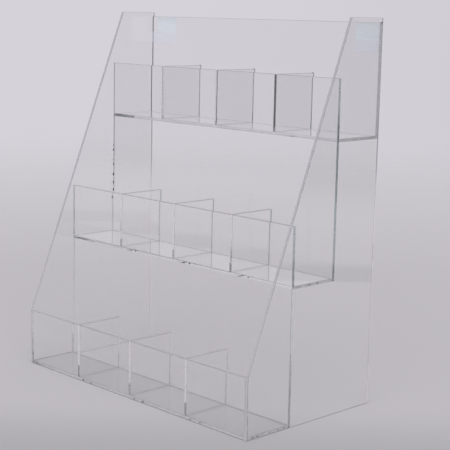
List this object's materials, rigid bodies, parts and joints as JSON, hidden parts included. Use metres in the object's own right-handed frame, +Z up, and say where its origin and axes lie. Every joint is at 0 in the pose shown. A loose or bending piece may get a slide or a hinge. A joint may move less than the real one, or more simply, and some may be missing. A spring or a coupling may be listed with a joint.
{
  "type": "countertop leaflet rack",
  "caption": "Clear acrylic countertop rack with stepped tiers of open-topped pockets for upright leaflets, between two sloped side panels, with a plain header panel above.",
  "frame": {"origin": "middle of the rack's footprint, on the surface it stands on", "axes": "+X to the right of someone facing the pockets, +Y to the back, +Z up"},
  "size_m": [0.44, 0.2265, 0.502],
  "materials": {
    "clear_acrylic": "clear cast acrylic sheet, polished faces and edges",
    "label_film": "pale blue translucent film, blank",
    "tape_film": "pale lilac-blue translucent tape, faintly ribbed"
  },
  "bodies": {
    "root": {"left_side_panel": "clear_acrylic", "right_side_panel": "clear_acrylic", "front_lip": "clear_acrylic", "middle_riser": "clear_acrylic", "top_riser": "clear_acrylic", "header_panel": "clear_acrylic", "bottom_shelf": "clear_acrylic", "bottom_divider_1": "clear_acrylic", "bottom_divider_2": "clear_acrylic", "bottom_divider_3": "clear_acrylic", "middle_shelf": "clear_acrylic", "middle_divider_1": "clear_acrylic", "middle_divider_2": "clear_acrylic", "middle_divider_3": "clear_acrylic", "top_shelf": "clear_acrylic", "top_divider_1": "clear_acrylic", "top_divider_2": "clear_acrylic", "top_divider_3": "clear_acrylic", "left_label": "label_film", "left_tape_strip": "tape_film", "right_label": "label_film", "right_tape_strip": "tape_film"}
  },
  "joints": []
}
